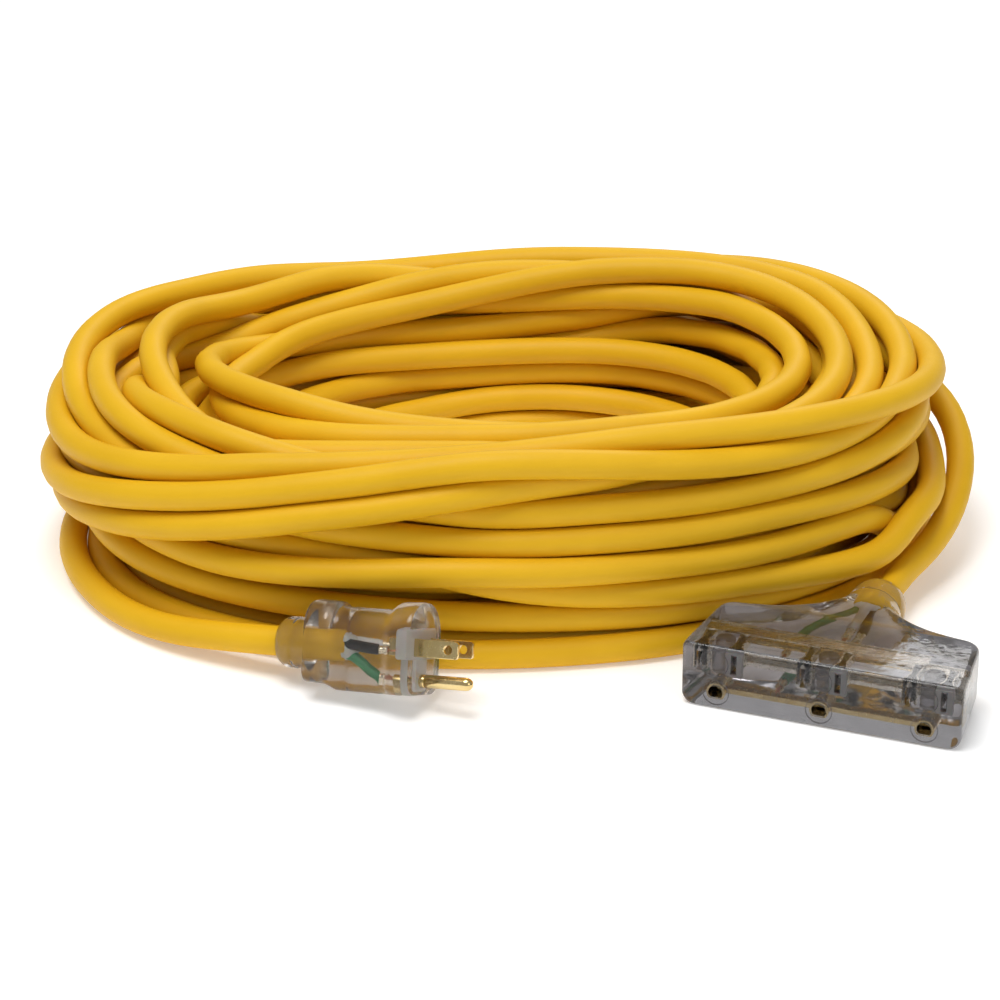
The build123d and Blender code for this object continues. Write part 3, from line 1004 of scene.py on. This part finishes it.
def build_plug():
    add, pieces = adder(PLUG)
    shell = plug_shell()
    add("plug_moulding", shell, CLEAR_PLUG, "clear_moulding", "plug_body", "plug_collar", sharp=40)
    add("plug_hot_prong", blade(-1), BRASS, "brass", "plug_hot_blade")
    add("plug_neutral_prong", blade(1), BRASS, "brass", "plug_neutral_blade")
    add("plug_earth_pin", ground_pin(), BRASS, "brass", "plug_ground_pin")
    plate = join(
        box((PLATE_BACK, -10.4, -4.4), (-2.4, 10.4, 6.2), 0.9),
        box((PLATE_BACK + 0.4, -4.2, -15.0), (-2.9, 4.2, -4.0), 0.8),
    )
    add("plug_carrier_plate", plate, FROSTED, "frosted_insert", "plug_blade_carrier")
    jacket = jacket_end((-56.8, 0, PLUG_CORD_Z), (JACKET_X, 0, PLUG_CORD_Z), 3)
    add("plug_jacket", jacket, YELLOW, "cord_jacket", "plug_jacket_end")
    tuft = filler((JACKET_X - 0.6, 0, PLUG_CORD_Z), (JACKET_X + 5.2, 0, -2.0), 4.8, 5)
    add("plug_filler", tuft, FROSTED, "frosted_insert")
    for name, look, slot_name, y0, z0, y1, z1, back, front in PLUG_WIRES:
        run = back - JACKET_X
        line = smooth_line([
            (JACKET_X - 0.5, y0, z0), (JACKET_X + 0.14 * run, y0, z0),
            (JACKET_X + 0.42 * run, y0 + (y1 - y0) * 0.4, z0 + (z1 - z0) * 0.35),
            (JACKET_X + 0.74 * run, y0 + (y1 - y0) * 0.95, z0 + (z1 - z0) * 0.85), (back, y1, z1),
        ], 30)
        add(f"plug_{name}_lead", tube(line, WIRE_R), look, slot_name, f"plug_{name}_wire")
        barrel = crimp((back, y1, z1), (front, y1, z1), 1.6)
        add(f"plug_{name}_barrel", barrel, BRIGHT, "brass", f"plug_{name}_crimp")
        reach = (front + 4.2, y1, z1 + 0.9) if name != "ground" else (front + 3.8, y1, z1 - 0.8)
        bundle = strands((front - 0.6, y1, z1), reach, 14, 0.6, 0.22, 20 + len(name))
        add(f"plug_{name}_strands", bundle, COPPER, "brass")
    return pieces


# ---------- outlet block
BLOCK_PLAN = (
    # half width, distance behind the face
    (46.8, 0.0), (50.8, 0.0), (51.3, 3.4), (50.2, 16.0), (48.7, 31.0), (48.3, 37.6),
    (41.5, 38.4), (30.5, 41.2), (21.0, 47.5), (14.6, 57.0), (11.4, 66.0), (11.0, 69.4),
)
COLLAR_PROFILE = (
    # distance behind the face, radius
    (69.6, 10.2), (70.0, 9.8), (70.8, 9.8), (71.2, 10.6), (72.0, 11.0),
    (76.0, 11.0), (79.5, 10.4), (82.0, 9.2), (83.4, 7.8), (84.0, 6.6),
)
BLOCK_TOP = 24.6
FACE_ROUND = 1.8
NECK_START = 30.0
NECK_LENGTH = 39.0
BLOCK_CORD_Z = 12.6
# how far in the openings reach, and the contacts' height each side of a slot's middle
SLOT_DEPTH = 15.0
HOLE_DEPTH = 16.5
CONTACT_HALF = 3.9
LAMP_X = 21.0
LAMP_Z = 18.0


def block_shell():
    """Wide face, slightly tapering sides, shoulders that sweep in to a round neck and collar."""
    rings = []
    for half, y in spline_points(BLOCK_PLAN, 6):
        near = max(0.0, FACE_ROUND - y)
        dip = FACE_ROUND - math.sqrt(max(FACE_ROUND ** 2 - near ** 2, 0.0))
        t = min(1.0, max(0.0, (y - NECK_START) / NECK_LENGTH))
        t = t * t * (3 - 2 * t)
        low = dip + 1.6 * t
        high = BLOCK_TOP - dip - 1.0 * t
        round_low = 4.6 + 5.6 * t
        round_high = 2.4 + 8.0 * t
        rings.append([(a, y, b) for a, b in outline(half, low, high, round_low, round_high)])
    for y, r in COLLAR_PROFILE:
        ring = outline(r, BLOCK_CORD_Z - r, BLOCK_CORD_Z + r, r - 0.1, r - 0.1)
        rings.append([(a, y, b) for a, b in ring])
    return loft(rings)


def slot_cutter(x, depth, wide=2.0, tall=7.4):
    return box((x - wide / 2, -1.0, SLOT_Z - tall / 2), (x + wide / 2, depth, SLOT_Z + tall / 2), 0.0)


def d_profile(x, radius):
    """D shaped opening: round above, flat below."""
    return [(x + a, GROUND_Z + max(b, -0.72 * radius)) for a, b in circle(radius, 28)]


def contact(x):
    """Two spring leaves that grip a blade, joined behind."""
    low, high = SLOT_Z - CONTACT_HALF, SLOT_Z + CONTACT_HALF
    leaf = ((2.6, 3.4), (1.7, 5.2), (1.25, 7.5), (1.5, 11.0), (1.9, 15.2))
    shapes = []
    for side in (-1, 1):
        profile = ribbon([(x + side * across, depth) for across, depth in leaf], 0.5)
        shapes.append(loft([[(a, b, z) for a, b in profile] for z in (low, high)]))
    shapes.append(box((x - 2.1, 14.9, low), (x + 2.1, 15.5, high), 0.15))
    return join(*shapes)


def rail(x0, x1, y0, y1, z, lip_front, lip_back):
    """Long strip with a folded edge along each side."""
    thick = 0.7
    profile = [
        (y0, z + lip_front), (y0 + thick, z + lip_front), (y0 + thick, z + thick), (y1 - thick, z + thick),
        (y1 - thick, z + lip_back), (y1, z + lip_back), (y1, z), (y0, z),
    ]
    return prism(profile, x0, x1, 0)


def strip_with_contacts(side, z):
    """Hot (1) or neutral (-1) strip: a rail at a height, with a contact behind each of its slots."""
    ends = [x + side * BLADE_Y for x in OUTLETS]
    shapes = [rail(ends[0] - 2.6, ends[-1] + 2.6, 15.4, 22.6, z, 1.5, 1.5)]
    for x in ends:
        shapes.append(contact(x))
        low, high = min(z, SLOT_Z - 3.6), max(z + 0.7, SLOT_Z - 3.0)
        shapes.append(box((x - 2.1, 14.9, low), (x + 2.1, 15.6, high), 0.15))
    return join(*shapes)


def ground_strip():
    """Ground strip: a rail with a D shaped sleeve and a tab behind each ground hole."""
    shapes = [rail(OUTLETS[0] - 1.0, OUTLETS[-1] + 1.0, 5.6, 12.8, GROUND_Z - 1.2, 1.9, 1.6)]
    for x in OUTLETS:
        outer = d_profile(x, 3.5)
        inner = d_profile(x, 2.75)
        walls_of_sleeve = ((outer, 0.9), (outer, 17.0), (inner, 17.0), (inner, 0.9))
        shapes.append(closed_rings([[(a, y, b) for a, b in ring] for ring, y in walls_of_sleeve]))
        shapes.append(box((x - 2.6, 16.4, GROUND_Z - 2.0), (x + 2.6, 17.0, GROUND_Z + 2.6), 0.1))
    return join(*shapes)


def ring_mark(x, z, radius, wide):
    """Thin ring inside the face, as a moulding leaves round a core pin."""
    profile = ((radius - wide, 0.55), (radius, 0.55), (radius, 1.05), (radius - wide, 1.05))
    return closed_rings([[(x + a, y, z + b) for a, b in circle(r, 40)] for r, y in profile])


def dome(x):
    """Domed core between an outlet's two contacts."""
    y, base, top, radius = 11.6, 11.4, 23.2, 3.7
    sections = [(base, radius * 0.9), (base + 0.5, radius), (top - radius, radius)]
    for i in range(1, 9):
        q = math.pi / 2 * i / 9
        sections.append((top - radius + radius * math.sin(q), radius * math.cos(q)))
    return loft([[(x + a, y + b, z) for a, b in circle(r, 28)] for z, r in sections])


BLOCK_WIRES = (
    # name, look, colour slot, start across and up, place of the wire's tip
    ("hot", BLACK, "black_insulation", 1.8, 11.1, (5.6, 30.5, 18.6)),
    ("neutral", WHITE, "white_insulation", 0.4, 14.9, (1.6, 31.5, 20.4)),
    ("ground", GREEN, "green_insulation", -2.2, 11.8, (-17.5, 21.5, 7.2)),
)


def build_outlets(add):
    """Moulding with its openings, the three strips, and what each outlet holds."""
    shell = block_shell()
    nodes = ("connector_body", "connector_collar")
    body = add("outlet_moulding", shell, CLEAR_BLOCK, "clear_moulding", *nodes, sharp=40)
    openings = []
    for x in OUTLETS:
        openings += [slot_cutter(x - BLADE_Y, SLOT_DEPTH), slot_cutter(x + BLADE_Y, SLOT_DEPTH)]
        openings.append(prism(d_profile(x, 2.7), -1.0, HOLE_DEPTH, 1))
    carve(body, join(*openings), BLOCK)
    add("hot_strip", strip_with_contacts(1, 14.2), STRIP, "brass", "hot_bus")
    add("neutral_strip", strip_with_contacts(-1, 21.4), STRIP, "brass", "neutral_bus")
    add("ground_strip", ground_strip(), BRASS, "brass", "ground_bus")
    for name, x in zip(("left", "middle", "right"), OUTLETS):
        hot_x = x + BLADE_Y
        sleeve = box((hot_x - 3.2, 0.7, SLOT_Z - 4.9), (hot_x + 3.2, 3.3, SLOT_Z + 4.5), 0.5)
        made = add(f"hot_sleeve_{name}", sleeve, FROSTED, "frosted_insert", f"hot_shroud_{name}")
        carve(made, slot_cutter(hot_x, 5.0, 2.3, 7.7), BLOCK)
        add(f"outlet_core_{name}", dome(x), DOME, "frosted_insert", f"outlet_dome_{name}")
        marks = join(ring_mark(x - 0.8, SLOT_Z - 0.6, 5.3, 0.3), ring_mark(x, GROUND_Z, 5.0, 0.35))
        add(f"outlet_rings_{name}", marks, DOME, "clear_moulding")


def build_block_wires(add):
    """Cut end of the jacket, the filler, and each wire with its crimp and strands."""
    jacket = jacket_end((0, 83.8, BLOCK_CORD_Z), (0, 61.5, BLOCK_CORD_Z), 9)
    add("outlet_jacket", jacket, YELLOW, "cord_jacket", "connector_jacket_end")
    tuft = filler((0, 62.0, BLOCK_CORD_Z), (0, 56.5, 13.6), 4.4, 7)
    add("outlet_filler", tuft, WHITE, "white_insulation")
    for name, look, slot_name, x0, z0, (x1, y1, z1) in BLOCK_WIRES:
        line = smooth_line([
            (x0, 62.5, z0), (x0, 58.0, z0),
            (x0 + (x1 - x0) * 0.3, 51.0, z0 + (z1 - z0) * 0.2),
            (x0 + (x1 - x0) * 0.85, 41.0, z0 + (z1 - z0) * 0.7),
            (x1, y1 + 6.0, z1), (x1, y1 + 3.0, z1),
        ], 36)
        add(f"outlet_{name}_lead", tube(line, WIRE_R), look, slot_name, f"connector_{name}_wire")
        barrel = crimp((x1, y1 + 3.4, z1), (x1, y1 - 5.0, z1), 1.75, 1)
        add(f"outlet_{name}_barrel", barrel, BRIGHT, "brass", f"connector_{name}_crimp")
        bundle = strands((x1, y1 - 4.6, z1), (x1, y1 - 9.0, z1 - 0.6), 14, 0.7, 0.2, 40 + len(name))
        add(f"outlet_{name}_strands", bundle, COPPER, "brass")


def build_pilot(add):
    """Indicator lamp, its resistor and the lead between them."""
    line = [(LAMP_X, y, LAMP_Z) for y in (23.5, 24.6, 31.0, 32.0)]
    lamp = tube(line, (1.0, 2.3, 2.6, 2.2), 20, 0.4)
    add("pilot_lamp", lamp, LAMP, "lamp_glass", "indicator_lamp")
    line = [(LAMP_X, y, LAMP_Z) for y in (33.5, 34.6, 36.5, 38.4, 39.5)]
    resistor = tube(line, (1.0, 1.25, 1.05, 1.25, 1.0), 16, 0.3)
    add("pilot_resistor", resistor, RESISTOR, "resistor", "lamp_resistor")
    lead = [(LAMP_X, 31.8, LAMP_Z), (LAMP_X + 0.05, 32.6, LAMP_Z + 0.1), (LAMP_X, 33.7, LAMP_Z)]
    add("pilot_lead", tube(lead, 0.35, 8, 0.1), BRIGHT, "brass", "lamp_lead")


def build_block():
    add, _ = adder(BLOCK)
    build_outlets(add)
    build_block_wires(add)
    build_pilot(add)


plug_pieces = build_plug()
build_block()

cord.data.materials.append(YELLOW)
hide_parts("cord_coil", "cord_tail_plug", "cord_tail_connector")
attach(cord, "root")


# ---------- floor and light
def add_floor():
    """Pale floor that glows a little, so that it's nearly white all over."""
    half = 6.0
    corners = [(-half, -half, 0), (half, -half, 0), (half, half, 0), (-half, half, 0)]
    mesh = bpy.data.meshes.new("floor")
    mesh.from_pydata(corners, [], [(0, 1, 2, 3)])
    floor = bpy.data.objects.new("floor", mesh)
    bpy.context.collection.objects.link(floor)
    made, tree, shader, coords = new_material("pale_floor")
    pale = two_colours(tree, noise(tree, coords, 3.0), (0.90, 0.90, 0.90), (0.93, 0.93, 0.93))
    tree.links.new(pale, shader.inputs["Base Color"])
    shader.inputs["Roughness"].default_value = 0.7
    shader.inputs["Emission Color"].default_value = (1, 1, 1, 1)
    shader.inputs["Emission Strength"].default_value = 0.24
    mesh.materials.append(made)


def add_area(name, place, aim, size, power):
    """Round area light at a place, turned to what it lights."""
    data = bpy.data.lights.new(name, "AREA")
    data.shape = "DISK"
    data.size = size
    data.energy = power
    lamp = bpy.data.objects.new(name, data)
    lamp.location = place
    lamp.rotation_euler = (Vector(aim) - Vector(place)).to_track_quat("-Z", "Y").to_euler()
    bpy.context.collection.objects.link(lamp)


def add_light():
    """White surroundings, a soft key light from above and two weaker ones."""
    world = bpy.data.worlds.new("studio")
    bpy.context.scene.world = world
    world.use_nodes = True
    backdrop = world.node_tree.nodes["Background"]
    backdrop.inputs["Color"].default_value = (1, 1, 1, 1)
    backdrop.inputs["Strength"].default_value = 0.34
    add_area("key", (-0.3, -0.35, 1.6), (0, 0, 0.02), 1.0, 20)
    add_area("fill", (0.9, -1.2, 0.8), (0.02, -0.1, 0.03), 0.7, 3)
    add_area("back", (0.3, 1.2, 1.1), (0, 0, 0.04), 0.8, 6)
    bpy.context.scene.view_settings.view_transform = "Standard"


add_floor()
add_light()
